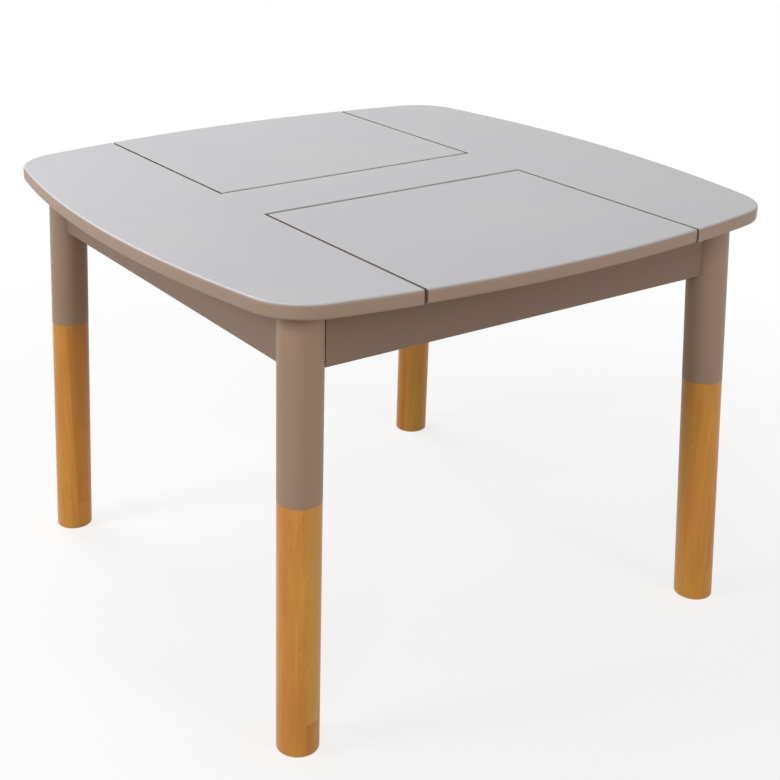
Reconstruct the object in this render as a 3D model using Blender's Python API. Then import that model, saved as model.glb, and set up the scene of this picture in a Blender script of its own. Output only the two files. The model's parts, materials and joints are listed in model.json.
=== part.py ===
"""Square play table with two lift-up lids over shallow storage compartments.

Metres, +Z up. The floor is z = 0 and the table is centred on the origin; the front is -Y.
The top is one H-shaped panel: two wings joined by a centre bar. A lid lies in each bay of the H
and turns on two pivot pins hidden in the edges of the wings.
"""
import math

import bmesh
import bpy
from mathutils import Matrix, Vector

# Driving dimensions
TABLE_HEIGHT = 0.500
TOP_SIZE = 0.702             # from side to side through the centre, both ways
TOP_THICKNESS = 0.016
SIDE_RADIUS = 1.38           # the four sides bulge along this radius
CORNER_RADIUS = 0.066
EDGE_ROUNDING = 0.002
LID_THICKNESS = 0.015
LID_GAP = 0.0035             # the slot that shows round a lid
SIDE_SLOT_X = 0.1770         # centre line of the slots along a lid's sides
INNER_SLOT_Y = 0.0487        # centre line of the slot along the centre bar
LEG_SPACING = 0.540          # axis to axis where the legs meet the top
LEG_DIAMETER = 0.046
LEG_LEANS = {                # each leg's outward run per unit of height, in X and in Y
    "front_left": (0.035, 0.037),
    "front_right": (0.045, 0.050),
    "back_left": (0.035, 0.038),
    "back_right": (0.027, 0.043),
}
LEAN = 0.039                 # their mean, which the leg bolts are set out from
FOOT_ROUNDING = 0.0045
PAINT_HEIGHT = 0.288         # paint above, bare wood below
APRON_HEIGHT = 0.066
BOARD = 0.018                # thickness of aprons, rails and beams
APRON_SETOUT = 0.013         # outer face of an apron beyond the legs' axes
APRON_ROUNDING = 0.0015
APRON_SHORT = 0.002          # from a leg's axis to the end of the blank
FLOOR_PANEL = 0.006
FLOOR_RECESS = 0.0007        # underside of the storage floor above the aprons' lower edges
BEAM_OUTER = 0.044           # a centre beam's face towards its compartment
FIT = 0.0003                 # gap between pieces that touch

# Pivots of the lids
PIN_RADIUS = 0.0025
PIN_LENGTH = 0.024
PIN_IN_WING = 0.0112
PIN_CHAMFER = 0.0004
BUSH_RADIUS = 0.004
BUSH_BORE = 0.0026
BUSH_LENGTH = 0.016
PIVOT_INSET = 0.006          # axis from the inner edge of a lid
PIVOT_DEPTH = 0.008          # axis below the top surface
LID_NOSE = 0.004             # upper rounding that lets the inner edge turn in its slot
LID_HEEL = 0.0035            # lower rounding that lets it swing clear of the rails

# Hardware
BOLT_RADIUS = 0.004
BOLT_CHAMFER = 0.0006
BOLT_TIP = 0.001
BOLT_IN_LEG = 0.025
SCREW_POINT = 0.004          # length of the point of a bolt or screw
BOLT_DROP = 0.032            # bolt axis below the underside of the top
BLOCK_HEIGHT = 0.050
BLOCK_THICKNESS = 0.022
BLOCK_CLEARANCE = 0.0046     # between a corner block and its leg
WASHER_RADIUS = 0.010
WASHER_THICKNESS = 0.0015
NUT_FLATS = 0.013
NUT_THICKNESS = 0.0065
BOLT_TAIL = 0.004            # thread that stands out of the nut
TOP_SCREW_RADIUS = 0.002
TOP_SCREW_HEAD = 0.004
TOP_SCREW_HEAD_HEIGHT = 0.003
TOP_SCREW_CROWN = 0.0032     # flat end of the head
TOP_SCREW_RIM = 0.0018       # height of the head's straight rim
TOP_SCREW_BITE = 0.0095      # length inside the top panel
TOP_SCREW_OFFSET = 0.015     # from the bolt, along the block
COUNTERBORE_DEPTH = 0.028
FLOOR_SCREW_RADIUS = 0.00175
FLOOR_SCREW_HEAD = 0.0037
FLOOR_SCREW_HEAD_HEIGHT = 0.0026
FLOOR_SCREW_LENGTH = 0.026
FLOOR_SCREW_Y = (0.080, 0.235)
PAD_RADIUS = 0.007
PAD_THICKNESS = 0.0007
PAD_X = 0.120

# Counts of facets
SIDE_STEPS = 14
CORNER_STEPS = 8
NOSE_STEPS = 5
LEG_SIDES = 32
HARDWARE_SIDES = 12
NUT_POINTS = 12              # corners and middles of the nut's six sides
PIVOT_SIDES = 16

# Levels and faces that follow from them
UNDERSIDE = TABLE_HEIGHT - TOP_THICKNESS
FRAME_TOP = UNDERSIDE - FIT
APRON_LOW = UNDERSIDE - APRON_HEIGHT
LEG_AXIS = LEG_SPACING / 2
LEG_RADIUS = LEG_DIAMETER / 2
APRON_OUTER = LEG_AXIS + APRON_SETOUT
APRON_INNER = APRON_OUTER - BOARD
FLOOR_LOW = APRON_LOW + FLOOR_RECESS
FLOOR_TOP = FLOOR_LOW + FLOOR_PANEL
WALL_LOW = FLOOR_TOP + FIT
RAIL_INNER = SIDE_SLOT_X - BOARD / 2
RAIL_OUTER = SIDE_SLOT_X + BOARD / 2
LID_EDGE_X = SIDE_SLOT_X - LID_GAP / 2
LID_EDGE_Y = INNER_SLOT_Y + LID_GAP / 2
BAY_EDGE_X = SIDE_SLOT_X + LID_GAP / 2
BAY_EDGE_Y = INNER_SLOT_Y - LID_GAP / 2
PIVOT_Y = LID_EDGE_Y + PIVOT_INSET
PIVOT_Z = TABLE_HEIGHT - PIVOT_DEPTH
BEYOND = 0.5                 # far outside the table, for cutters
OVERRUN = 0.005              # how far a cutter stands out of the face it enters
HAIR = 0.00001               # keeps a cutter's face off the face beside it
HOLE_FIT = 1.2 * FIT         # added to a rod's radius for its hole, so that flat facets keep the gap
SAME_LEVEL = 1e-6
SHARP_ANGLE = math.radians(35)

FRONT_BACK = (("front", -1), ("back", 1))
LEFT_RIGHT = (("left", -1), ("right", 1))
CORNERS = [(f"{fb}_{lr}", sx, sy) for fb, sy in FRONT_BACK for lr, sx in LEFT_RIGHT]


def linear(r, g, b):
    """Screen colour, 0 to 255, as linear light."""
    def channel(value):
        c = value / 255
        return c / 12.92 if c <= 0.04045 else ((c + 0.055) / 1.055) ** 2.4
    return (channel(r), channel(g), channel(b), 1.0)


def make_material(name, colour, roughness, metallic=0.0):
    material = bpy.data.materials.new(name)
    material.use_nodes = True
    shader = material.node_tree.nodes["Principled BSDF"]
    shader.inputs["Base Color"].default_value = linear(*colour)
    shader.inputs["Roughness"].default_value = roughness
    shader.inputs["Metallic"].default_value = metallic
    material.diffuse_color = linear(*colour)
    return material


def add_box(bm, low, high):
    """Box between two opposite corners."""
    low, high = Vector(low), Vector(high)
    size = Matrix.Diagonal((high - low).to_4d())
    size[3][3] = 1.0
    bmesh.ops.create_cube(bm, size=1.0, matrix=Matrix.Translation((low + high) / 2) @ size)


def add_prism(bm, outline, sweep):
    """Closed prism: the outline's points swept along a vector."""
    face = bm.faces.new([bm.verts.new(p) for p in outline])
    swept = bmesh.ops.extrude_face_region(bm, geom=[face])
    moved = [v for v in swept["geom"] if isinstance(v, bmesh.types.BMVert)]
    bmesh.ops.translate(bm, verts=moved, vec=sweep)


def add_turned(bm, profile, sides, place=Matrix.Identity(4), ring=False):
    """Solid of revolution about local Z. The profile is (radius, height) points; ring closes it on itself."""
    verts = [bm.verts.new((r, 0.0, z)) for r, z in profile]
    pairs = list(zip(verts, verts[1:]))
    if ring:
        pairs.append((verts[-1], verts[0]))
    edges = [bm.edges.new(pair) for pair in pairs]
    bmesh.ops.spin(bm, geom=verts + edges, cent=(0, 0, 0), axis=(0, 0, 1), angle=math.tau, steps=sides,
                   use_merge=True, use_duplicate=False)
    linked = set(verts)
    front = list(verts)
    while front:
        for edge in front.pop().link_edges:
            for v in edge.verts:
                if v not in linked:
                    linked.add(v)
                    front.append(v)
    bmesh.ops.remove_doubles(bm, verts=list(linked), dist=SAME_LEVEL)
    rest = [v for v in linked if v.is_valid]
    bmesh.ops.transform(bm, matrix=place, verts=rest)


def rod_profile(radius, z0, z1):
    return [(0.0, z0), (radius, z0), (radius, z1), (0.0, z1)]


def mesh_from(name, bm):
    bmesh.ops.recalc_face_normals(bm, faces=bm.faces[:])
    mesh = bpy.data.meshes.new(name)
    bm.to_mesh(mesh)
    bm.free()
    mesh.shade_smooth()
    mesh.set_sharp_from_angle(angle=SHARP_ANGLE)
    return mesh


def add_piece(name, bm, material, origin=(0.0, 0.0, 0.0)):
    """Object from a mesh drawn in world coordinates, with its own origin at the given point."""
    bmesh.ops.translate(bm, verts=bm.verts[:], vec=-Vector(origin))
    piece = bpy.data.objects.new(name, mesh_from(name, bm))
    piece.data.materials.append(material)
    piece.location = origin
    bpy.context.collection.objects.link(piece)
    return piece


def add_copy(name, mesh, location, direction=(0, 0, 1)):
    """One of several equal pieces, with local Z along the direction."""
    piece = bpy.data.objects.new(name, mesh)
    piece.location = location
    piece.rotation_euler = Vector(direction).to_track_quat("Z", "Y").to_euler()
    bpy.context.collection.objects.link(piece)
    return piece


def shape_with(piece, bm, operation="DIFFERENCE"):
    """Cuts the piece with, or down to, the solids in bm, which are drawn in world coordinates."""
    tool = bpy.data.objects.new("tool", mesh_from("tool", bm))
    bpy.context.collection.objects.link(tool)
    boolean = piece.modifiers.new("shape", "BOOLEAN")
    boolean.operation = operation
    boolean.object = tool
    bpy.context.view_layer.update()
    shaped = bpy.data.meshes.new_from_object(piece.evaluated_get(bpy.context.evaluated_depsgraph_get()))
    piece.modifiers.clear()
    old = piece.data
    piece.data = shaped
    bpy.data.meshes.remove(old)
    bpy.data.objects.remove(tool)
    shaped.name = piece.name
    shaped.shade_smooth()
    shaped.set_sharp_from_angle(angle=SHARP_ANGLE)


def arc(centre, radius, start, end, steps):
    """Points of an arc, both ends included; angles in radians."""
    angles = [start + (end - start) * i / steps for i in range(steps + 1)]
    return [(centre[0] + radius * math.cos(a), centre[1] + radius * math.sin(a)) for a in angles]


def table_outline():
    """Plan of the top: four bulged sides and four round corners, tangent to each other."""
    side_centre = TOP_SIZE / 2 - SIDE_RADIUS
    reach = SIDE_RADIUS - CORNER_RADIUS
    corner = (side_centre + math.sqrt(2 * reach ** 2 - side_centre ** 2)) / 2
    swing = math.atan2(corner, corner - side_centre)
    points = []
    for quarter in range(4):
        turn = Matrix.Rotation(quarter * math.pi / 2, 2)
        side = arc((side_centre, 0.0), SIDE_RADIUS, -swing, swing, SIDE_STEPS)
        bend = arc((corner, corner), CORNER_RADIUS, swing, math.pi / 2 - swing, CORNER_STEPS)
        points += [turn @ Vector(p) for p in side[:-1] + bend[:-1]]
    return points


def add_slab(bm, low, high):
    """The whole top between two levels, with its rim rounded above and below."""
    add_prism(bm, [(p.x, p.y, low) for p in table_outline()], (0, 0, high - low))
    rim = [e for e in bm.edges if abs(e.verts[0].co.z - e.verts[1].co.z) < SAME_LEVEL]
    bmesh.ops.bevel(bm, geom=rim, offset=EDGE_ROUNDING, segments=2, profile=0.5, affect="EDGES")


def pivot_place(x, side):
    """Frame of a rod that starts at x on a lid's pivot axis and runs along +X."""
    return Matrix.Translation((x, side * PIVOT_Y, PIVOT_Z)) @ Matrix.Rotation(math.pi / 2, 4, "Y")


def corner_direction(sx, sy):
    return Vector((sx, sy, 0)).normalized()


def corner_place(sx, sy, distance, z):
    """Frame on a corner's diagonal, with local Z pointing at the leg."""
    direction = corner_direction(sx, sy)
    turn = direction.to_track_quat("Z", "Y").to_matrix().to_4x4()
    return Matrix.Translation(direction * distance + Vector((0, 0, z))) @ turn


BOLT_Z = UNDERSIDE - BOLT_DROP
LEG_FACE = (LEG_AXIS + LEAN * BOLT_DROP) * math.sqrt(2) - LEG_RADIUS
BLOCK_OUTER = LEG_FACE - BLOCK_CLEARANCE
BLOCK_INNER = BLOCK_OUTER - BLOCK_THICKNESS
WASHER_FACE = BLOCK_INNER - FIT - WASHER_THICKNESS
NUT_FACE = WASHER_FACE - FIT - NUT_THICKNESS
BOLT_START = NUT_FACE - BOLT_TAIL
BOLT_LENGTH = LEG_FACE + BOLT_IN_LEG - BOLT_START
BLOCK_LOW = FRAME_TOP - BLOCK_HEIGHT
SHELF = BLOCK_LOW + COUNTERBORE_DEPTH


def top_screw_spot(sx, sy):
    """Where a top screw stands, beside the bolt in the middle of its block."""
    along = Vector((-sy, sx, 0)).normalized() * TOP_SCREW_OFFSET
    return corner_direction(sx, sy) * (BLOCK_OUTER + BLOCK_INNER) / 2 + along


def add_leg_solid(bm, radius, low, name, sx, sy, rounding=0.0):
    """Leaning round leg from the given level up to the top panel; every level is a true circle."""
    steps = 3 if rounding else 0
    profile = [(0.0, low)]
    for i in range(steps + 1):
        a = i / steps * math.pi / 2 if steps else math.pi / 2
        profile.append((radius - rounding * (1 - math.sin(a)), low + rounding * (1 - math.cos(a))))
    profile += [(radius, PAINT_HEIGHT)] if low < PAINT_HEIGHT else []
    profile += [(radius, FRAME_TOP), (0.0, FRAME_TOP)]
    lean_x, lean_y = LEG_LEANS[name]
    lean = Matrix.Identity(4)
    lean[0][2] = -sx * lean_x
    lean[1][2] = -sy * lean_y
    foot = Vector((sx * (LEG_AXIS + lean_x * UNDERSIDE), sy * (LEG_AXIS + lean_y * UNDERSIDE), 0))
    add_turned(bm, profile, LEG_SIDES, Matrix.Translation(foot) @ lean)


def build_top_panel(material):
    bm = bmesh.new()
    add_slab(bm, UNDERSIDE, TABLE_HEIGHT)
    panel = add_piece("top_panel", bm, material, (0, 0, UNDERSIDE))
    for _, side in FRONT_BACK:
        bay = bmesh.new()
        near, far = sorted((side * BAY_EDGE_Y, side * BEYOND))
        add_box(bay, (-BAY_EDGE_X, near, UNDERSIDE - OVERRUN), (BAY_EDGE_X, far, TABLE_HEIGHT + OVERRUN))
        shape_with(panel, bay)
    holes = bmesh.new()
    for _, sx, sy in CORNERS:
        depth = PIN_IN_WING + FIT
        start = BAY_EDGE_X - OVERRUN if sx > 0 else -BAY_EDGE_X - depth
        pin_hole = rod_profile(PIN_RADIUS + HOLE_FIT, 0, depth + OVERRUN)
        add_turned(holes, pin_hole, PIVOT_SIDES, pivot_place(start, sy))
        top_hole = rod_profile(TOP_SCREW_RADIUS + HOLE_FIT, -OVERRUN, TOP_SCREW_BITE + FIT)
        foot = top_screw_spot(sx, sy) + Vector((0, 0, UNDERSIDE))
        add_turned(holes, top_hole, HARDWARE_SIDES, Matrix.Translation(foot))
    shape_with(panel, holes)


def build_lid(name, side, material):
    low = TABLE_HEIGHT - LID_THICKNESS
    bm = bmesh.new()
    add_slab(bm, low, TABLE_HEIGHT)
    lid = add_piece(name, bm, material, (0, side * PIVOT_Y, PIVOT_Z))
    heel = arc((LID_EDGE_Y + LID_HEEL, low + LID_HEEL), LID_HEEL, -math.pi / 2, -math.pi, NOSE_STEPS)
    nose = arc((LID_EDGE_Y + LID_NOSE, TABLE_HEIGHT - LID_NOSE), LID_NOSE, math.pi, math.pi / 2, NOSE_STEPS)
    under, over = low - HAIR, TABLE_HEIGHT + HAIR
    edge = [(heel[0][0], under)] + heel[1:] + nose[:-1] + [(nose[-1][0], over)]
    profile = edge + [(BEYOND, over), (BEYOND, under)]
    keep = bmesh.new()
    add_prism(keep, [(-LID_EDGE_X, side * y, z) for y, z in profile], (2 * LID_EDGE_X, 0, 0))
    shape_with(lid, keep, "INTERSECT")
    holes = bmesh.new()
    depth = BUSH_LENGTH + PIN_LENGTH - PIN_IN_WING - LID_GAP
    for _, sx in LEFT_RIGHT:
        start = LID_EDGE_X - depth if sx > 0 else -LID_EDGE_X - OVERRUN
        bush_hole = rod_profile(BUSH_RADIUS + HOLE_FIT, 0, depth + OVERRUN)
        add_turned(holes, bush_hole, PIVOT_SIDES, pivot_place(start, side))
    shape_with(lid, holes)


def build_pivots(steel, nylon):
    pin = bmesh.new()
    add_turned(pin, [(0, 0), (PIN_RADIUS - PIN_CHAMFER, 0), (PIN_RADIUS, PIN_CHAMFER),
                     (PIN_RADIUS, PIN_LENGTH - PIN_CHAMFER), (PIN_RADIUS - PIN_CHAMFER, PIN_LENGTH),
                     (0, PIN_LENGTH)], PIVOT_SIDES)
    pin_mesh = mesh_from("pivot_pin", pin)
    pin_mesh.materials.append(steel)
    bush = bmesh.new()
    add_turned(bush, [(BUSH_BORE, 0), (BUSH_RADIUS, 0), (BUSH_RADIUS, BUSH_LENGTH), (BUSH_BORE, BUSH_LENGTH)],
               PIVOT_SIDES, ring=True)
    bush_mesh = mesh_from("pivot_bush", bush)
    bush_mesh.materials.append(nylon)
    for name, sx, sy in CORNERS:
        inward = (-sx, 0, 0)
        pin_end = (sx * (BAY_EDGE_X + PIN_IN_WING), sy * PIVOT_Y, PIVOT_Z)
        bush_end = (sx * (LID_EDGE_X - FIT), sy * PIVOT_Y, PIVOT_Z)
        add_copy(f"pivot_pin_{name}", pin_mesh, pin_end, inward)
        add_copy(f"pivot_bush_{name}", bush_mesh, bush_end, inward)


def build_legs(paint, wood):
    for name, sx, sy in CORNERS:
        bm = bmesh.new()
        add_leg_solid(bm, LEG_RADIUS, 0.0, name, sx, sy, FOOT_ROUNDING)
        leg = add_piece(f"leg_{name}", bm, paint, (sx * LEG_AXIS, sy * LEG_AXIS, FRAME_TOP))
        leg.data.materials.append(wood)
        hole = bmesh.new()
        profile = rod_profile(BOLT_RADIUS + HOLE_FIT, -OVERRUN, BOLT_IN_LEG + FIT)
        add_turned(hole, profile, HARDWARE_SIDES, corner_place(sx, sy, LEG_FACE, BOLT_Z))
        shape_with(leg, hole)
        bare = PAINT_HEIGHT - FRAME_TOP
        for face in leg.data.polygons:
            face.material_index = 1 if face.center.z < bare else 0


def build_aprons(material):
    """Four boards between the legs, their ends hollowed to the legs' round faces."""
    sides = [("front", 0, -1), ("back", 0, 1), ("left", 1, -1), ("right", 1, 1)]
    for apron_name, axis, side in sides:
        faces = sorted((side * APRON_INNER, side * APRON_OUTER))
        end = LEG_AXIS - APRON_SHORT
        low = (-end, faces[0], APRON_LOW) if axis == 0 else (faces[0], -end, APRON_LOW)
        high = (end, faces[1], FRAME_TOP) if axis == 0 else (faces[1], end, FRAME_TOP)
        bm = bmesh.new()
        add_box(bm, low, high)
        long_edges = [e for e in bm.edges if abs(e.verts[0].co[axis] - e.verts[1].co[axis]) > end]
        bmesh.ops.bevel(bm, geom=long_edges, offset=APRON_ROUNDING, segments=2, profile=0.5, affect="EDGES")
        centre = ((low[0] + high[0]) / 2, (low[1] + high[1]) / 2, FRAME_TOP)
        apron = add_piece(f"apron_{apron_name}", bm, material, centre)
        ends = bmesh.new()
        for name, sx, sy in CORNERS:
            if (sy if axis == 0 else sx) == side:
                add_leg_solid(ends, LEG_RADIUS + HOLE_FIT, APRON_LOW - BOARD, name, sx, sy)
        tops = [v for v in ends.verts if v.co.z > FRAME_TOP - FIT]
        bmesh.ops.translate(ends, verts=tops, vec=(0, 0, FIT))
        shape_with(apron, ends)


def build_storage(material, panel):
    """Rails and beams that wall the compartments and carry the lids, with one floor under both."""
    end = APRON_INNER - FIT
    for name, side in LEFT_RIGHT:
        faces = sorted((side * RAIL_INNER, side * RAIL_OUTER))
        bm = bmesh.new()
        add_box(bm, (faces[0], -end, WALL_LOW), (faces[1], end, FRAME_TOP))
        rail = add_piece(f"rail_{name}", bm, material, (side * SIDE_SLOT_X, 0, FRAME_TOP))
        cut_floor_screws(rail, [side])
    for name, side in FRONT_BACK:
        faces = sorted((side * BEAM_OUTER, side * (BEAM_OUTER - BOARD)))
        bm = bmesh.new()
        reach = RAIL_INNER - FIT
        add_box(bm, (-reach, faces[0], WALL_LOW), (reach, faces[1], FRAME_TOP))
        add_piece(f"beam_{name}", bm, material, (0, side * (BEAM_OUTER - BOARD / 2), FRAME_TOP))
    bm = bmesh.new()
    add_box(bm, (-RAIL_OUTER, -end, FLOOR_LOW), (RAIL_OUTER, end, FLOOR_TOP))
    floor = add_piece("storage_floor", bm, panel, (0, 0, FLOOR_LOW))
    cut_floor_screws(floor, [-1, 1])


def floor_screw_spots(sides):
    return [(sx * SIDE_SLOT_X, sy * y) for sx in sides for sy in (-1, 1) for y in FLOOR_SCREW_Y]


def cut_floor_screws(piece, sides):
    """Countersunk holes for the screws that hold the floor up to the rails."""
    holes = bmesh.new()
    head, shank = FLOOR_SCREW_HEAD + HOLE_FIT, FLOOR_SCREW_RADIUS + HOLE_FIT
    profile = [(0.0, -OVERRUN), (head, -OVERRUN), (head, FIT), (shank, FIT + FLOOR_SCREW_HEAD_HEIGHT),
               (shank, FLOOR_SCREW_LENGTH + FIT), (0.0, FLOOR_SCREW_LENGTH + FIT)]
    for x, y in floor_screw_spots(sides):
        add_turned(holes, profile, HARDWARE_SIDES, Matrix.Translation((x, y, FLOOR_LOW)))
    shape_with(piece, holes)


def build_floor_screws(steel):
    tip = FLOOR_SCREW_LENGTH - SCREW_POINT
    screw = bmesh.new()
    add_turned(screw, [(0, 0), (FLOOR_SCREW_HEAD, 0), (FLOOR_SCREW_RADIUS, FLOOR_SCREW_HEAD_HEIGHT),
                       (FLOOR_SCREW_RADIUS, tip), (0, FLOOR_SCREW_LENGTH - FIT)], HARDWARE_SIDES)
    mesh = mesh_from("floor_screw", screw)
    mesh.materials.append(steel)
    for number, (x, y) in enumerate(floor_screw_spots([-1, 1]), start=1):
        add_copy(f"floor_screw_{number}", mesh, (x, y, FLOOR_LOW + FIT))


def build_corner_blocks(material):
    """Diagonal blocks between neighbouring aprons; each is bored for a leg bolt and for a top screw."""
    wall = APRON_INNER - FIT
    near, far = BLOCK_INNER * math.sqrt(2), BLOCK_OUTER * math.sqrt(2)
    for name, sx, sy in CORNERS:
        plan = [(wall, near - wall), (wall, far - wall), (far - wall, wall), (near - wall, wall)]
        bm = bmesh.new()
        add_prism(bm, [(sx * x, sy * y, BLOCK_LOW) for x, y in plan], (0, 0, BLOCK_HEIGHT))
        middle = corner_direction(sx, sy) * BLOCK_OUTER
        block = add_piece(f"corner_block_{name}", bm, material, (middle.x, middle.y, FRAME_TOP))
        holes = bmesh.new()
        bolt_hole = rod_profile(BOLT_RADIUS + HOLE_FIT, -OVERRUN, BLOCK_THICKNESS + OVERRUN)
        add_turned(holes, bolt_hole, HARDWARE_SIDES, corner_place(sx, sy, BLOCK_INNER, BOLT_Z))
        head, shank = TOP_SCREW_HEAD + HOLE_FIT, TOP_SCREW_RADIUS + HOLE_FIT
        bore = [(0, BLOCK_LOW - OVERRUN), (head, BLOCK_LOW - OVERRUN), (head, SHELF), (shank, SHELF),
                (shank, FRAME_TOP + OVERRUN), (0, FRAME_TOP + OVERRUN)]
        add_turned(holes, bore, HARDWARE_SIDES, Matrix.Translation(top_screw_spot(sx, sy)))
        shape_with(block, holes)


def build_leg_fixings(steel):
    bolt = bmesh.new()
    add_turned(bolt, [(0, 0), (BOLT_RADIUS - BOLT_CHAMFER, 0), (BOLT_RADIUS, BOLT_CHAMFER),
                      (BOLT_RADIUS, BOLT_LENGTH - SCREW_POINT), (BOLT_TIP, BOLT_LENGTH),
                      (0, BOLT_LENGTH)], HARDWARE_SIDES)
    washer = bmesh.new()
    bore = BOLT_RADIUS + HOLE_FIT
    add_turned(washer, [(bore, 0), (WASHER_RADIUS, 0), (WASHER_RADIUS, WASHER_THICKNESS),
                        (bore, WASHER_THICKNESS)], 2 * HARDWARE_SIDES, ring=True)
    nut = bmesh.new()
    add_nut(nut, bore)
    meshes = {}
    for name, bm in (("hanger_bolt", bolt), ("washer", washer), ("hex_nut", nut)):
        meshes[name] = mesh_from(name, bm)
        meshes[name].materials.append(steel)
    starts = {"hanger_bolt": BOLT_START, "washer": WASHER_FACE, "hex_nut": NUT_FACE}
    for name, sx, sy in CORNERS:
        direction = corner_direction(sx, sy)
        for piece, mesh in meshes.items():
            add_copy(f"{piece}_{name}", mesh, direction * starts[piece] + Vector((0, 0, BOLT_Z)), direction)


def add_nut(bm, bore):
    """Hexagon with a round bore, walled between rings of twelve points."""
    rings = []
    for z in (0.0, NUT_THICKNESS):
        for hexagonal in (True, False):
            ring = []
            for i in range(NUT_POINTS):
                a = i * math.tau / NUT_POINTS
                radius = NUT_FLATS / (math.sqrt(3) if i % 2 else 2) if hexagonal else bore
                ring.append(bm.verts.new((radius * math.cos(a), radius * math.sin(a), z)))
            rings.append(ring)
    low_outer, low_inner, high_outer, high_inner = rings
    around = (low_outer, high_outer, high_inner, low_inner, low_outer)
    for a, b in zip(around, around[1:]):
        for i in range(NUT_POINTS):
            j = (i + 1) % NUT_POINTS
            bm.faces.new((a[i], a[j], b[j], b[i]))


def build_top_screws(steel):
    screw = bmesh.new()
    length = FRAME_TOP - SHELF + FIT + TOP_SCREW_BITE
    add_turned(screw, [(0, -TOP_SCREW_HEAD_HEIGHT), (TOP_SCREW_CROWN, -TOP_SCREW_HEAD_HEIGHT),
                       (TOP_SCREW_HEAD, -TOP_SCREW_RIM), (TOP_SCREW_HEAD, 0), (TOP_SCREW_RADIUS, 0),
                       (TOP_SCREW_RADIUS, length - SCREW_POINT), (0, length)], HARDWARE_SIDES)
    mesh = mesh_from("top_screw", screw)
    mesh.materials.append(steel)
    for name, sx, sy in CORNERS:
        add_copy(f"top_screw_{name}", mesh, top_screw_spot(sx, sy) + Vector((0, 0, SHELF - FIT)))


def build_pads(felt):
    pad = bmesh.new()
    add_turned(pad, rod_profile(PAD_RADIUS, 0, PAD_THICKNESS), PIVOT_SIDES)
    mesh = mesh_from("lid_pad", pad)
    mesh.materials.append(felt)
    for name, sx, sy in CORNERS:
        add_copy(f"lid_pad_{name}", mesh, (sx * PAD_X, sy * (APRON_INNER + BOARD / 2), FRAME_TOP + FIT))


def main():
    for old in list(bpy.data.objects):
        bpy.data.objects.remove(old)
    top_paint = make_material("top_paint", (199, 197, 198), 0.45)
    frame_paint = make_material("frame_paint", (143, 121, 103), 0.5)
    wood = make_material("lacquered_wood", (190, 132, 68), 0.4)
    inner_wood = make_material("inner_wood", (196, 160, 112), 0.6)
    steel = make_material("zinc_steel", (176, 178, 180), 0.35, 1.0)
    nylon = make_material("nylon", (226, 224, 216), 0.5)
    felt = make_material("felt", (120, 112, 104), 0.95)
    build_top_panel(top_paint)
    for name, side in FRONT_BACK:
        build_lid(f"lid_{name}", side, top_paint)
    build_pivots(steel, nylon)
    build_legs(frame_paint, wood)
    build_aprons(frame_paint)
    build_storage(frame_paint, inner_wood)
    build_floor_screws(steel)
    build_corner_blocks(inner_wood)
    build_leg_fixings(steel)
    build_top_screws(steel)
    build_pads(felt)


main()
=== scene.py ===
"""Looks of the play table: satin grey top, taupe frame, honey-coloured wooden legs painted at the top."""
import json
import math

import bmesh
import bpy
from mathutils import Matrix, Vector


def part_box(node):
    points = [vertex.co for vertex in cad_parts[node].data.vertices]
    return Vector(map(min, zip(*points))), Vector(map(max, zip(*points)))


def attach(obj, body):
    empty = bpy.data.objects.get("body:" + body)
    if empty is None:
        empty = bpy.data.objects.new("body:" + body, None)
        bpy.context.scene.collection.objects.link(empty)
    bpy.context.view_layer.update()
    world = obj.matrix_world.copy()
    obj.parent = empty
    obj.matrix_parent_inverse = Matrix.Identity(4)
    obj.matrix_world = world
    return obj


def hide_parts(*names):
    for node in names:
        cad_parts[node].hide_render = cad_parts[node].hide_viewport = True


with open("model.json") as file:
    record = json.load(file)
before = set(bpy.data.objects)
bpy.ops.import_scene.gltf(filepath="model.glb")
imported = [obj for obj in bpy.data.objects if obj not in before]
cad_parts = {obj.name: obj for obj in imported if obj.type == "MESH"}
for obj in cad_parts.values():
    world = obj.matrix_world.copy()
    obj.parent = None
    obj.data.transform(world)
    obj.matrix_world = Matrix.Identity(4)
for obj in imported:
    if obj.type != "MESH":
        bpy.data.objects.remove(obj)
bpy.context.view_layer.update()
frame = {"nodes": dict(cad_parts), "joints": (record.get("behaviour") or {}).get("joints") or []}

# Levels and faces read from the frame
TOP_LOW, TOP_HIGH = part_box("top_panel")[0].z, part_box("top_panel")[1].z
LID_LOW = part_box("lid_front")[0].z
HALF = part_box("top_panel")[1].x                   # centre of the top to the middle of a side
LEG_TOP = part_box("leg_front_left")[1].z
APRON_LOW, APRON_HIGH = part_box("apron_front")[0].z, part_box("apron_front")[1].z
APRON_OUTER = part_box("apron_back")[1].y
APRON_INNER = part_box("apron_back")[0].y
LID_EDGE_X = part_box("lid_front")[1].x
LID_EDGE_Y = -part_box("lid_front")[1].y
JOINTS = {joint["name"]: joint for joint in frame["joints"]}
PIVOT = Vector(JOINTS["back_lid_hinge"]["pos_m"])

# The table's own sizes, as in its construction
SIDE_RADIUS = 1.38
CORNER_RADIUS = 0.066
LID_GAP = 0.0035
LEG_RADIUS = 0.023
LEG_AXIS = 0.270
LEG_LEANS = {                # outward run per unit of height, in X and in Y
    "front_left": (0.035, 0.037),
    "front_right": (0.045, 0.050),
    "back_left": (0.035, 0.038),
    "back_right": (0.027, 0.043),
}
BAY_EDGE_X = LID_EDGE_X + LID_GAP
BAY_EDGE_Y = LID_EDGE_Y - LID_GAP
CORNERS = [
    (f"{row}_{column}", sx, sy)
    for row, sy in (("front", -1), ("back", 1))
    for column, sx in (("left", -1), ("right", 1))
]
FIT = 0.0003                 # gap between pieces that touch
HOLE_FIT = 0.00035           # how much wider a pivot hole is than what turns in it, on the radius
PIN_RADIUS = 0.0025
PIN_LENGTH = 0.024
PIN_IN_WING = 0.0112
BUSH_RADIUS = 0.004
BUSH_LENGTH = 0.016

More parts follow.
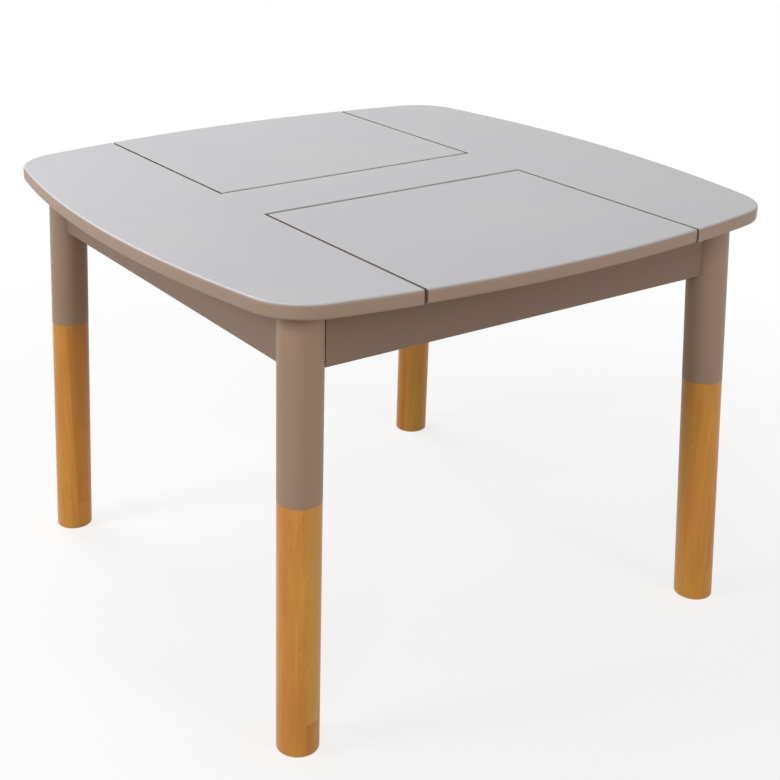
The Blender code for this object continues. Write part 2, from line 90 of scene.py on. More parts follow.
# Small forms that only the finished surface has
RIM_ROUNDING = 0.0032
SLOT_ROUNDING = 0.0006
LID_NOSE = 0.0025
LID_HEEL = 0.0035
GREY_WRAP = 0.0021
FOOT_ROUNDING = 0.0015
LEG_TOP_EASE = 0.0008
PAINT_FILM = 0.00008
PAINT_LINES = {"front_left": 0.283, "front_right": 0.288, "back_left": 0.2945, "back_right": 0.288}
APRON_ROUNDING = 0.0018
BOARD_EASE = 0.001
END_GAP = 0.0008             # shadow line between an apron's end and the leg

# What cutting forms and paint limits share
BEYOND = 0.5                 # past the table's edge
CLEAR = 0.01                 # above and below the board that a form cuts through
OVERRUN = 0.001              # past the surface that a small form cuts
HAIR = 0.00002
GREY_LIMIT = 0.68            # upward lean down to which a rounded edge takes the grey of the top
SQUARE_WALL = 0.9            # sideways lean from which a face counts as a slot's straight wall
NOSE_WALL = 0.5              # the same for a lid's rounded inner edge

# The photograph's camera
PHOTO_SIZE = 780
PHOTO_SENSOR = 36.0
CAMERA_PLACE = (-0.9193, -1.3096, 0.9270)
CAMERA_YAW = 0.5729
CAMERA_PITCH = 0.4093
CAMERA_ROLL = -0.0028
CAMERA_FOCUS = 1399.8        # focal length in pixels
CAMERA_CENTRE = (320.0, 390.0)


# Node trees

class Nodes:
    """A node tree being built: nodes are added by kind, an input takes a value or a node's output."""

    def __init__(self, tree):
        self.tree = tree

    def add(self, kind, inputs=None, **settings):
        node = self.tree.nodes.new(kind)
        for key, value in settings.items():
            setattr(node, key, value)
        for key, value in (inputs or {}).items():
            self.set(node, key, value)
        return node

    def set(self, node, key, value):
        if isinstance(value, bpy.types.NodeSocket):
            self.tree.links.new(value, node.inputs[key])
        else:
            node.inputs[key].default_value = value

    def math(self, operation, a, b=0.0):
        return self.add("ShaderNodeMath", {0: a, 1: b}, operation=operation).outputs["Value"]


class Finish(Nodes):
    """A material being built round one surface shader."""

    def __init__(self, name):
        self.material = bpy.data.materials.new(name)
        self.material.use_nodes = True
        super().__init__(self.material.node_tree)
        self.shader = self.tree.nodes["Principled BSDF"]

    def surface(self, **inputs):
        for key, value in inputs.items():
            self.set(self.shader, key.replace("_", " "), value)

    def place(self, scale=(1, 1, 1), turn=(0, 0, 0), shift=(0, 0, 0)):
        """Object coordinates, turned, stretched and shifted."""
        coordinates = self.add("ShaderNodeTexCoord").outputs["Object"]
        inputs = {"Vector": coordinates, "Scale": scale, "Rotation": turn, "Location": shift}
        return self.add("ShaderNodeMapping", inputs).outputs["Vector"]

    def noise(self, vector, scale, detail=3.0, roughness=0.5, distortion=0.0):
        inputs = {"Vector": vector, "Scale": scale, "Detail": detail, "Roughness": roughness,
                  "Distortion": distortion}
        return self.add("ShaderNodeTexNoise", inputs).outputs["Fac"]

    def spread(self, value, low, high, to_low=0.0, to_high=1.0):
        """Value from one range to another, held at the ends."""
        inputs = {"Value": value, "From Min": low, "From Max": high, "To Min": to_low, "To Max": to_high}
        return self.add("ShaderNodeMapRange", inputs).outputs["Result"]

    def blend(self, factor, a, b):
        node = self.add("ShaderNodeMix", data_type="RGBA")
        for index, value in ((0, factor), (6, a), (7, b)):
            self.set(node, index, value)
        return node.outputs[2]

    def bump(self, height, strength, distance, normal=None):
        node = self.add("ShaderNodeBump", {"Height": height, "Strength": strength, "Distance": distance})
        if normal is not None:
            self.set(node, "Normal", normal)
        return node.outputs["Normal"]


# Finishes

def linear(r, g, b):
    """Screen colour, 0 to 255, as linear light."""
    def channel(value):
        c = value / 255
        return c / 12.92 if c <= 0.04045 else ((c + 0.055) / 1.055) ** 2.4
    return (channel(r), channel(g), channel(b), 1.0)


def sprayed_paint(name, colour, shade, roughness, shine=0.3, grain=0.0):
    """Satin sprayed paint: slow drift of tone, faint orange peel and, on solid wood, a trace of the grain."""
    f = Finish(name)
    drift = f.spread(f.noise(f.place(), 4.0, 2.0), 0.35, 0.65)
    cloud = f.spread(f.noise(f.place(), 38.0, 3.0), 0.3, 0.7)
    tone = f.blend(drift, linear(*colour), linear(*shade))
    darker = tuple(c * 0.96 for c in colour)
    tone = f.blend(f.math("MULTIPLY", cloud, 0.2), tone, linear(*darker))
    peel = f.noise(f.place(), 900.0, 2.0)
    normal = f.bump(peel, 0.05, 0.0002)
    if grain:
        fibres = f.noise(f.place(scale=(1, 1, 0.05)), 420.0, 4.0)
        normal = f.bump(fibres, grain, 0.0002, normal)
    gloss = f.spread(cloud, 0.0, 1.0, roughness - 0.01, roughness + 0.015)
    f.surface(Base_Color=tone, Normal=normal, Roughness=gloss, Specular_IOR_Level=shine)
    return f.material


# Staves that the legs are turned from, and how the joints and tones step from one to the next
STAVE_WIDTH = 0.032
STAVE_LENGTH = 0.36
STAVE_TURN = 34.0
STAVE_SHIFT = (0.003, 0.0, 0.0)
JOINT_STEP, JOINT_START = 0.8, 0.494
TONE_ACROSS, TONE_ALONG, TONE_START = 0.68, 0.85, 0.43


def stave_lot(f):
    """A number for each length of stave; the staves run up the leg, glued end to end from unlike trees."""
    turned = f.place(turn=(0, 0, math.radians(STAVE_TURN)), shift=STAVE_SHIFT)
    axes = f.add("ShaderNodeSeparateXYZ", {"Vector": turned}).outputs
    stave = f.math("FLOOR", f.math("DIVIDE", axes["X"], STAVE_WIDTH))
    start = f.math("FRACT", f.math("ADD", f.math("MULTIPLY", stave, JOINT_STEP), JOINT_START))
    length = f.math("FLOOR", f.math("ADD", f.math("DIVIDE", axes["Z"], STAVE_LENGTH), start))
    mixed = f.math("ADD", f.math("MULTIPLY", stave, TONE_ACROSS), f.math("MULTIPLY", length, TONE_ALONG))
    return f.math("FRACT", f.math("ADD", mixed, TONE_START))


def lacquered_wood(name):
    """Honey-coloured lacquered beech: fine straight fibres, short dark flecks, staves of unlike tone."""
    f = Finish(name)
    fibres = f.noise(f.place(scale=(1, 1, 0.045)), 260.0, 6.0, 0.6, 0.3)
    bands = f.noise(f.place(scale=(1, 1, 0.12)), 55.0, 3.0, 0.5, 0.6)
    patches = f.noise(f.place(scale=(1, 1, 0.4)), 16.0, 2.0)
    fleck = f.noise(f.place(scale=(1, 1, 0.11)), 620.0, 1.0)
    lot = stave_lot(f)
    tone = f.blend(f.spread(bands, 0.32, 0.68), linear(233, 168, 73), linear(215, 148, 64))
    tone = f.blend(f.spread(fibres, 0.38, 0.7, 0.0, 0.42), tone, linear(191, 125, 47))
    tone = f.blend(f.spread(patches, 0.4, 0.75, 0.0, 0.5), tone, linear(224, 145, 69))
    tone = f.blend(f.spread(lot, 0.55, 1.0, 0.0, 0.6), tone, linear(215, 167, 79))
    tone = f.blend(f.spread(lot, 0.0, 0.35, 0.6, 0.0), tone, linear(194, 117, 44))
    tone = f.blend(f.spread(fleck, 0.71, 0.79, 0.0, 0.5), tone, linear(139, 85, 30))
    f.surface(Base_Color=tone, Normal=f.bump(fibres, 0.10, 0.0003), Specular_IOR_Level=0.3,
              Roughness=f.spread(fibres, 0.3, 0.7, 0.36, 0.46), Coat_Weight=0.12, Coat_Roughness=0.2)
    return f.material


def plain_board(name, colour, streak):
    """Unpainted light wood with a soft straight grain along X."""
    f = Finish(name)
    fibres = f.noise(f.place(scale=(0.05, 1, 1)), 240.0, 5.0, 0.6, 0.2)
    bands = f.noise(f.place(scale=(0.12, 1, 1)), 40.0, 3.0, 0.5, 0.8)
    tone = f.blend(f.spread(bands, 0.3, 0.7), linear(*colour), linear(*streak))
    tone = f.blend(f.spread(fibres, 0.45, 0.75, 0.0, 0.5), tone, linear(*(c * 0.8 for c in streak)))
    f.surface(Base_Color=tone, Normal=f.bump(fibres, 0.2, 0.0004),
              Roughness=f.spread(bands, 0.2, 0.8, 0.55, 0.68))
    return f.material


def plated_steel(name):
    f = Finish(name)
    haze = f.noise(f.place(), 260.0, 4.0)
    tone = f.blend(f.spread(haze, 0.3, 0.7), linear(190, 192, 196), linear(164, 166, 172))
    f.surface(Base_Color=tone, Normal=f.bump(haze, 0.06, 0.0002),
              Roughness=f.spread(haze, 0.3, 0.7, 0.26, 0.42), Metallic=1.0)
    return f.material


def moulded_nylon(name):
    f = Finish(name)
    milk = f.noise(f.place(), 300.0, 2.0)
    tone = f.blend(milk, linear(232, 229, 220), linear(214, 211, 200))
    f.surface(Base_Color=tone, Normal=f.bump(milk, 0.05, 0.0002),
              Roughness=f.spread(milk, 0.3, 0.7, 0.42, 0.55))
    return f.material


def pressed_felt(name):
    f = Finish(name)
    fuzz = f.noise(f.place(), 1500.0, 5.0, 0.7, 1.5)
    tone = f.blend(f.spread(fuzz, 0.3, 0.7), linear(132, 124, 116), linear(92, 86, 80))
    f.surface(Base_Color=tone, Normal=f.bump(fuzz, 0.8, 0.0005),
              Roughness=f.spread(fuzz, 0.3, 0.7, 0.9, 1.0), Sheen_Weight=0.4)
    return f.material


TOP_LACQUER = sprayed_paint("top_lacquer", (193, 192, 195), (189, 188, 192), 0.36, shine=0.45)
RIM_PAINT = sprayed_paint("rim_paint", (175, 152, 134), (170, 147, 130), 0.46)
# Frame taupe darker than the rim's: partly its own tone, partly painted shade from under the top's overhang
SHADED_FRAME_PAINT = sprayed_paint("frame_paint", (144, 121, 104), (139, 117, 100), 0.46)
LEG_PAINT = sprayed_paint("leg_paint", (172, 146, 126), (167, 141, 121), 0.44, grain=0.05)
# Taupe darkened and greyed with painted shade, for the walls in the slots
SHADED_SLOT_PAINT = sprayed_paint("shaded_slot_paint", (143, 130, 120), (135, 122, 112), 0.55)
LEG_WOOD = lacquered_wood("leg_wood")
PLYWOOD = plain_board("plywood", (214, 184, 140), (200, 164, 116))
SOFTWOOD = plain_board("softwood", (208, 172, 122), (190, 150, 100))
STEEL = plated_steel("plated_steel")
NYLON = moulded_nylon("nylon")
FELT = pressed_felt("felt")


# Mesh helpers

def link(piece):
    bpy.context.collection.objects.link(piece)
    return piece


def new_piece(name, bm, *materials):
    bmesh.ops.recalc_face_normals(bm, faces=bm.faces[:])
    mesh = bpy.data.meshes.new(name)
    bm.to_mesh(mesh)
    bm.free()
    for material in materials:
        mesh.materials.append(material)
    return link(bpy.data.objects.new(name, mesh))


def settle(piece):
    """Turns the piece and its modifiers into a plain mesh."""
    bpy.context.view_layer.update()
    mesh = bpy.data.meshes.new_from_object(piece.evaluated_get(bpy.context.evaluated_depsgraph_get()))
    piece.modifiers.clear()
    old = piece.data
    piece.data = mesh
    bpy.data.meshes.remove(old)
    mesh.name = piece.name
    return piece


def carve(piece, bm, operation="DIFFERENCE"):
    tool = new_piece("tool", bm, *piece.data.materials)
    boolean = piece.modifiers.new("carve", "BOOLEAN")
    boolean.operation = operation
    boolean.object = tool
    settle(piece)
    bpy.data.objects.remove(tool)


def ease_edges(piece, width):
    """Small round on every square edge."""
    bevel = piece.modifiers.new("ease", "BEVEL")
    bevel.width = width
    bevel.segments = 3
    bevel.limit_method = "ANGLE"
    bevel.angle_limit = math.radians(50)
    bevel.use_clamp_overlap = False
    return settle(piece)


def smooth(piece, angle=35.0):
    """Smooth shading with sharp creases kept, and flat faces that shade flat."""
    piece.data.shade_smooth()
    piece.data.set_sharp_from_angle(angle=math.radians(angle))
    weighted = piece.modifiers.new("weighted", "WEIGHTED_NORMAL")
    weighted.keep_sharp = True
    weighted.mode = "FACE_AREA"
    weighted.weight = 100
    return settle(piece)


def dress(piece, body, slot, *nodes):
    """Says what the piece rides on and which CAD nodes it stands for; the slot argument is not used."""
    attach(piece, body)
    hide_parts(*nodes)


def add_box(bm, low, high):
    low, high = Vector(low), Vector(high)
    size = Matrix.Diagonal((*(high - low), 1.0))
    bmesh.ops.create_cube(bm, size=1.0, matrix=Matrix.Translation((low + high) / 2) @ size)


def add_prism(bm, outline, sweep):
    face = bm.faces.new([bm.verts.new(p) for p in outline])
    swept = bmesh.ops.extrude_face_region(bm, geom=[face])["geom"]
    bmesh.ops.translate(bm, verts=[v for v in swept if isinstance(v, bmesh.types.BMVert)], vec=sweep)


def add_ring(bm, radius, z, sides, place):
    """Ring of points about local Z, or a single point on the axis."""
    angles = [i * math.tau / sides for i in range(sides)] if radius else [0.0]
    return [bm.verts.new(place @ Vector((radius * math.cos(a), radius * math.sin(a), z))) for a in angles]


def add_turned(bm, profile, sides, place=Matrix.Identity(4)):
    """Solid of revolution about local Z from (radius, height) points; a flat end on the axis is one face."""
    rings = [add_ring(bm, radius, z, sides, place) for radius, z in profile]
    for step, (low, high) in enumerate(zip(rings, rings[1:])):
        is_flat = profile[step][1] == profile[step + 1][1]
        if is_flat and 1 in (len(low), len(high)):
            bm.verts.remove(min(low, high, key=len)[0])
            bm.faces.new(max(low, high, key=len))
            continue
        for i in range(sides):
            j = (i + 1) % sides
            corners = (low[i % len(low)], low[j % len(low)], high[j % len(high)], high[i % len(high)])
            bm.faces.new(list(dict.fromkeys(corners)))
    return rings


def rod(radius, low, high):
    return [(0.0, low), (radius, low), (radius, high), (0.0, high)]


def arc(centre, radius, start, end, steps):
    angles = [start + (end - start) * i / steps for i in range(steps + 1)]
    return [(centre[0] + radius * math.cos(a), centre[1] + radius * math.sin(a)) for a in angles]


def middle(node):
    low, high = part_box(node)
    return (low + high) / 2


def nodes_named(start):
    return [node for node in frame["nodes"] if node.startswith(start)]


# Top and lids

def table_outline(side_steps=40, corner_steps=20):
    """Plan of the top: four bulged sides and four round corners, tangent to each other."""
    side_centre = HALF - SIDE_RADIUS
    reach = SIDE_RADIUS - CORNER_RADIUS
    corner = (side_centre + math.sqrt(2 * reach ** 2 - side_centre ** 2)) / 2
    swing = math.atan2(corner, corner - side_centre)
    side = arc((side_centre, 0.0), SIDE_RADIUS, -swing, swing, side_steps)
    bend = arc((corner, corner), CORNER_RADIUS, swing, math.pi / 2 - swing, corner_steps)
    points = []
    for quarter in range(4):
        turn = Matrix.Rotation(quarter * math.pi / 2, 2)
        points += [turn @ Vector(p) for p in side[:-1] + bend[:-1]]
    return points


def slab(name, low, high):
    """The whole top between two levels, with a rounded rim; its three finishes are shared out later."""
    bm = bmesh.new()
    add_prism(bm, [(p.x, p.y, low) for p in table_outline()], (0, 0, high - low))
    rim = [e for e in bm.edges if abs(e.verts[0].co.z - e.verts[1].co.z) < HAIR]
    bmesh.ops.bevel(bm, geom=rim, offset=RIM_ROUNDING, segments=9, profile=0.5, affect="EDGES")
    return new_piece(name, bm, RIM_PAINT, TOP_LACQUER, SHADED_SLOT_PAINT)


def paint_slab(piece):
    """Grey on the upper face and its roundings; in the slots beside and behind the lids, taupe with painted
    shade.
    """
    reach = LID_GAP + LID_NOSE
    for face in piece.data.polygons:
        n, c = face.normal, face.center
        beside = abs(abs(c.x) - LID_EDGE_X) < reach and abs(c.y) > LID_EDGE_Y - reach
        behind = LID_EDGE_Y - HAIR < abs(c.y) < LID_EDGE_Y + reach and abs(c.x) < LID_EDGE_X + reach
        if n.z > GREY_LIMIT and c.z > TOP_HIGH - RIM_ROUNDING:
            face.material_index = 1
        elif beside and abs(n.x) > SQUARE_WALL or behind and abs(n.y) > NOSE_WALL:
            # Slot walls and lid noses take the taupe with painted shade
            face.material_index = 2


def wrap_bar_edges(piece):
    """Carries the grey lacquer over the upper edges of the bar between the lids."""
    bm = bmesh.new()
    bm.from_mesh(piece.data)

    def on_bar_wall(face):
        return abs(abs(face.calc_center_median().y) - BAY_EDGE_Y) < FIT

    walls = [f for f in bm.faces if abs(f.normal.y) > SQUARE_WALL and on_bar_wall(f)]
    edges = dict.fromkeys(e for f in walls for e in f.edges)
    corners = dict.fromkeys(v for f in walls for v in f.verts)
    level = TOP_HIGH - GREY_WRAP
    bmesh.ops.bisect_plane(bm, geom=[*corners, *edges, *walls], plane_co=(0, 0, level), plane_no=(0, 0, 1))
    for face in bm.faces:
        c = face.calc_center_median()
        if on_bar_wall(face) and c.z > level and abs(c.x) < BAY_EDGE_X:
            face.material_index = 1
    bm.to_mesh(piece.data)
    bm.free()


def pivot_place(x, side):
    return Matrix.Translation((x, side * PIVOT.y, PIVOT.z)) @ Matrix.Rotation(math.pi / 2, 4, "Y")


def pivot_hole(bm, side, wall, inward, depth, radius):
    """Blind hole along the pivot axis from a wall at X; inward says which way it goes."""
    start, end = sorted((wall + inward * depth, wall - inward * OVERRUN))
    add_turned(bm, rod(radius, 0, end - start), 48, pivot_place(start, side))


def build_top():
    piece = slab("top_board", TOP_LOW, TOP_HIGH)
    for side in (-1, 1):
        bay = bmesh.new()
        near, far = sorted((side * BAY_EDGE_Y, side * BEYOND))
        add_box(bay, (-BAY_EDGE_X, near, TOP_LOW - CLEAR), (BAY_EDGE_X, far, TOP_HIGH + CLEAR))
        carve(piece, bay)
    smooth(ease_edges(piece, SLOT_ROUNDING))
    holes = bmesh.new()
    for _, sx, sy in CORNERS:
        pivot_hole(holes, sy, sx * BAY_EDGE_X, sx, PIN_IN_WING + FIT, PIN_RADIUS + HOLE_FIT)
    carve(piece, holes)
    smooth(piece)
    paint_slab(piece)
    wrap_bar_edges(piece)
    dress(piece, "table", "top_paint", "top_panel")


def lid_profile():
    """Section of a lid from its rounded inner edge out past the rim: distance from the middle, height."""
    heel = arc((LID_EDGE_Y + LID_HEEL, LID_LOW + LID_HEEL), LID_HEEL, -math.pi / 2, -math.pi, 8)
    nose = arc((LID_EDGE_Y + LID_NOSE, TOP_HIGH - LID_NOSE), LID_NOSE, math.pi, math.pi / 2, 10)
    under, over = LID_LOW - HAIR, TOP_HIGH + HAIR
    edge = [(heel[0][0], under)] + heel[1:] + nose[:-1] + [(nose[-1][0], over)]
    return edge + [(BEYOND, over), (BEYOND, under)]


def build_lid(end, side):
    piece = slab(f"{end}_lid_board", LID_LOW, TOP_HIGH)
    keep = bmesh.new()
    add_prism(keep, [(-LID_EDGE_X, side * y, z) for y, z in lid_profile()], (2 * LID_EDGE_X, 0, 0))
    carve(piece, keep, "INTERSECT")
    smooth(ease_edges(piece, SLOT_ROUNDING))
    depth = BUSH_LENGTH + PIN_LENGTH - PIN_IN_WING - LID_GAP
    holes = bmesh.new()
    for sx in (-1, 1):
        pivot_hole(holes, side, sx * LID_EDGE_X, -sx, depth, BUSH_RADIUS + HOLE_FIT)
    carve(piece, holes)
    smooth(piece)
    paint_slab(piece)
    dress(piece, f"{end}_lid", "top_paint", f"lid_{end}")


# Legs

def build_leg(corner, sx, sy):
    """Leaning round leg: bare lacquered wood with a rounded foot, and a film of paint above the line."""
    line = PAINT_LINES[corner]
    bare = LEG_RADIUS - PAINT_FILM
    foot = arc((bare - FOOT_ROUNDING, FOOT_ROUNDING), FOOT_ROUNDING, -math.pi / 2, 0, 8)
    wood = [(0.0, 0.0)] + foot + [(bare, line * t) for t in (0.25, 0.5, 0.75, 1.0)]
    turns = (0.5, 1.0, math.pi / 2)
    lip = [(bare + PAINT_FILM * math.sin(a), line + PAINT_FILM * (1 - math.cos(a))) for a in turns]
    upper = [(LEG_RADIUS, line + (LEG_TOP - line) * t) for t in (0.25, 0.5, 0.75)]
    top = [(LEG_RADIUS, LEG_TOP - LEG_TOP_EASE), (LEG_RADIUS - LEG_TOP_EASE, LEG_TOP), (0.0, LEG_TOP)]
    lean_x, lean_y = LEG_LEANS[corner]
    lean = Matrix.Identity(4)
    lean[0][2] = -sx * lean_x
    lean[1][2] = -sy * lean_y
    foot_x = sx * (LEG_AXIS + lean_x * TOP_LOW)
    foot_y = sy * (LEG_AXIS + lean_y * TOP_LOW)
    bm = bmesh.new()
    rings = add_turned(bm, wood + lip + upper + top, 96, Matrix.Translation((foot_x, foot_y, 0)) @ lean)
    painted = {v for ring in rings[len(wood) - 1:-1] for v in ring}
    for face in bm.faces:
        face.material_index = int(painted.issuperset(face.verts))
    piece = smooth(new_piece(f"{corner}_leg", bm, LEG_WOOD, LEG_PAINT), angle=50.0)
    dress(piece, "table", "leg_wood", f"leg_{corner}")


# Frame boards

APRON_COLUMNS = 12           # faces across the thickness of an apron's end


def apron_section():
    """Heights of an apron with its half thickness at each; the long edges are rounded."""
    half = (APRON_OUTER - APRON_INNER) / 2
    bend = arc((half - APRON_ROUNDING, APRON_LOW + APRON_ROUNDING), APRON_ROUNDING, -math.pi / 2, 0, 5)
    low = [(z, width) for width, z in bend]
    flat = [(APRON_LOW + (APRON_HIGH - APRON_LOW) * t, half) for t in (0.25, 0.5, 0.75)]
    high = [(APRON_LOW + APRON_HIGH - z, width) for z, width in reversed(low)]
    return low + flat + high


def apron_end(bm, axis, side, end):
    """Rows of points over an apron's end, hollowed to the leaning round face of the leg."""
    leans = {(sx, sy): LEG_LEANS[corner] for corner, sx, sy in CORNERS}
    lean_along, lean_across = leans[(end, side)] if axis == 0 else reversed(leans[(side, end)])
    rows = []
    for z, half in apron_section():
        drop = TOP_LOW - z
        row = []
        for column in range(APRON_COLUMNS + 1):
            across = (APRON_OUTER + APRON_INNER) / 2 + half * (2 * column / APRON_COLUMNS - 1)
            off_axis = across - LEG_AXIS - lean_across * drop
            hollow = math.sqrt((LEG_RADIUS + END_GAP) ** 2 - off_axis ** 2)
            along = end * (LEG_AXIS + lean_along * drop - hollow)
            place = (along, side * across, z) if axis == 0 else (side * across, along, z)
            row.append(bm.verts.new(place))
        rows.append(row)
    return rows


def build_apron(name, axis, side):
    """Board between two legs, along X where axis is 0 and along Y where it is 1."""
    bm = bmesh.new()
    near, far = apron_end(bm, axis, side, -1), apron_end(bm, axis, side, 1)
    for rows in (near, far):
        for low, high in zip(rows, rows[1:]):
            for c in range(APRON_COLUMNS):
                bm.faces.new((low[c], low[c + 1], high[c + 1], high[c]))
    for i in range(len(near) - 1):
        for c in (0, -1):
            bm.faces.new((near[i][c], near[i + 1][c], far[i + 1][c], far[i][c]))
    for c in range(APRON_COLUMNS):
        for i in (0, -1):
            bm.faces.new((near[i][c], near[i][c + 1], far[i][c + 1], far[i][c]))
    # The apron takes the frame taupe, darkened in part with painted shade
    piece = smooth(new_piece(f"{name}_apron", bm, SHADED_FRAME_PAINT))
    dress(piece, "table", "frame_paint", f"apron_{name}")


def build_board(node):
    """Straight board in the place of its CAD node, with eased edges."""
    bm = bmesh.new()
    add_box(bm, *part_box(node))
    # The board takes the frame taupe, darkened in part with painted shade
    piece = smooth(ease_edges(new_piece(f"{node}_board", bm, SHADED_FRAME_PAINT), BOARD_EASE))
    dress(piece, "table", "frame_paint", node)


# Copies of the hardware

def copies_tree():
    """Geometry tree that sets copies of a mesh at the ends of one row, or at the corners of two."""
    tree = bpy.data.node_groups.new("row_copies", "GeometryNodeTree")
    for name, kind in (
        ("Geometry", "Geometry"), ("Half Spacing X", "Float"), ("Half Spacing Y", "Float"),
        ("Centre Y", "Float"), ("Level", "Float"), ("Rows", "Int"), ("Facing", "Vector"),
        ("Finish", "Material"),
    ):
        tree.interface.new_socket(name, in_out="INPUT", socket_type=f"NodeSocket{kind}")
    tree.interface.new_socket("Geometry", in_out="OUTPUT", socket_type="NodeSocketGeometry")
    g = Nodes(tree)
    given = g.add("NodeGroupInput").outputs

    def vector(**parts):
        return g.add("ShaderNodeCombineXYZ", parts).outputs[0]

    def pair(count, start, end):
        inputs = {"Count": count, "Start Location": start, "Offset": end}
        return g.add("GeometryNodeMeshLine", inputs, mode="END_POINTS").outputs[0]

    left = vector(X=g.math("MULTIPLY", given["Half Spacing X"], -1.0))
    front = vector(Y=g.math("MULTIPLY", given["Half Spacing Y"], -1.0))
    row = pair(2, left, vector(X=given["Half Spacing X"]))
    rows = pair(given["Rows"], front, vector(Y=given["Half Spacing Y"]))
    grid = g.add("GeometryNodeInstanceOnPoints", {"Points": rows, "Instance": row}).outputs[0]
    spots = g.add("GeometryNodeRealizeInstances", {"Geometry": grid}).outputs[0]
    centre = vector(Y=given["Centre Y"], Z=given["Level"])
    placed = g.add("GeometryNodeSetPosition", {"Geometry": spots, "Offset": centre}).outputs[0]
    position = g.add("GeometryNodeInputPosition").outputs[0]
    outward = g.add("ShaderNodeVectorMath", {0: position, 1: given["Facing"]}, operation="MULTIPLY")
    facing = {"Vector": outward.outputs[0]}
    turn = g.add("FunctionNodeAlignRotationToVector", facing, axis="X", pivot_axis="Z").outputs[0]
    inputs = {"Points": placed, "Instance": given["Geometry"], "Rotation": turn}
    copies = g.add("GeometryNodeInstanceOnPoints", inputs).outputs[0]
    real = g.add("GeometryNodeRealizeInstances", {"Geometry": copies}).outputs[0]
    finished = g.add("GeometryNodeSetMaterial", {"Geometry": real, "Material": given["Finish"]}).outputs[0]
    g.add("NodeGroupOutput", {0: finished})
    return tree


def set_copies(piece, tree, **values):
    """Gives the piece its copies, with each input set by its socket's identifier, and settles the result."""
    sockets = {item.name: item.identifier for item in tree.interface.items_tree if item.in_out == "INPUT"}
    modifier = piece.modifiers.new("copies", "NODES")
    modifier.node_group = tree
    for label, value in values.items():
        modifier[sockets[label.replace("_", " ")]] = value
    settle(piece)
    piece.data.set_sharp_from_angle(angle=math.radians(35))
    return piece


def template(name, bm):
    piece = new_piece(name, bm)
    piece.data.shade_smooth()
    piece.data.set_sharp_from_angle(angle=math.radians(35))
    return piece


# Bolts, washers and nuts in the corners

ALONG_X = Matrix.Rotation(math.pi / 2, 4, "Y")
BOLT_RADIUS = 0.004
BOLT_END_RADIUS = 0.003
BOLT_CHAMFER = 0.0006
BOLT_TAIL = 0.004            # thread that stands out of the nut
THREAD_END = 0.022
THREAD_PITCH = 0.00125
THREAD_DEPTH = 0.0007
THREAD_CREST = (0.45, 0.55)  # start and end of the crest, in pitches
SHANK_RADIUS = 0.0035
SHANK_START = THREAD_END + 0.0005
POINT_LENGTH = 0.004
POINT_RADIUS = 0.001
STEEL_BORE = 0.00436         # radius of the hole in a washer or nut
WASHER_RADIUS = 0.010
WASHER_THICKNESS = 0.0015
WASHER_EASE = 0.0003
NUT_FLATS = 0.013
NUT_THICKNESS = 0.0065
NUT_CROWN = 0.0016           # how far the chamfer's widest circle lies past the flats
NUT_CHAMFER = 0.001
NUT_CHAMFER_RUN = 1.8        # run inwards per unit of height
NUT_CROWN_TURN = 2.4         # degrees, so that no edge of the crown meets a corner of the nut


def diagonal_span(node):
    """Nearest and furthest distance of a corner piece from the middle of the table, along its diagonal."""
    spans = [(abs(v.co.x) + abs(v.co.y)) / math.sqrt(2) for v in frame["nodes"][node].data.vertices]
    return min(spans), max(spans)


def thread_profile():
    """Ridges of a thread seen as rings along a shank."""
    core = BOLT_RADIUS - THREAD_DEPTH
    rise, fall = (part * THREAD_PITCH for part in THREAD_CREST)
    points = []
    z = BOLT_CHAMFER
    while z < THREAD_END - THREAD_PITCH:
        points += [(core, z), (BOLT_RADIUS, z + rise), (BOLT_RADIUS, z + fall)]
        z += THREAD_PITCH
    return points + [(core, THREAD_END)]


def set_in_corners(piece, tree, start):
    """Sets a piece of hardware, built outwards along X, on the four diagonals and dresses it."""
    near, _ = diagonal_span("hanger_bolt_back_right")
    half = near / math.sqrt(2)
    set_copies(piece, tree, Half_Spacing_X=half, Half_Spacing_Y=half, Centre_Y=0.0, Rows=2,
               Level=middle("hex_nut_back_right").z, Facing=(1.0, 1.0, 0.0), Finish=STEEL)
    dress(piece, "table", "steel", *nodes_named(start))


def build_bolts(tree):
    near, far = diagonal_span("hanger_bolt_back_right")
    length = far - near
    shank = [(SHANK_RADIUS, SHANK_START), (SHANK_RADIUS, length - POINT_LENGTH), (POINT_RADIUS, length)]
    bm = bmesh.new()
    profile = [(0.0, 0.0), (BOLT_END_RADIUS, 0.0)] + thread_profile() + shank + [(0.0, length)]
    add_turned(bm, profile, 40, ALONG_X)
    set_in_corners(template("leg_bolts", bm), tree, "hanger_bolt")


def build_washers(tree):
    face = WASHER_RADIUS - WASHER_EASE
    profile = [(STEEL_BORE, 0.0), (face, 0.0), (WASHER_RADIUS, WASHER_EASE),
               (WASHER_RADIUS, WASHER_THICKNESS - WASHER_EASE), (face, WASHER_THICKNESS),
               (STEEL_BORE, WASHER_THICKNESS), (STEEL_BORE, 0.0)]
    behind_nut = BOLT_TAIL + NUT_THICKNESS + FIT
    in_frame = diagonal_span("washer_back_right")[0] - diagonal_span("hanger_bolt_back_right")[0]
    bm = bmesh.new()
    add_turned(bm, profile, 64, Matrix.Translation((max(in_frame, behind_nut), 0, 0)) @ ALONG_X)
    bmesh.ops.remove_doubles(bm, verts=bm.verts[:], dist=HAIR)
    set_in_corners(template("leg_washers", bm), tree, "washer")


def nut_crown():
    """Turned form that takes the corners off a nut at both ends."""
    girth = NUT_FLATS / 2 + NUT_CROWN
    ends = girth - NUT_CHAMFER_RUN * (OVERRUN + NUT_CHAMFER)
    return [(0, -OVERRUN), (ends, -OVERRUN), (girth, NUT_CHAMFER), (girth, NUT_THICKNESS - NUT_CHAMFER),
            (ends, NUT_THICKNESS + OVERRUN), (0, NUT_THICKNESS + OVERRUN)]


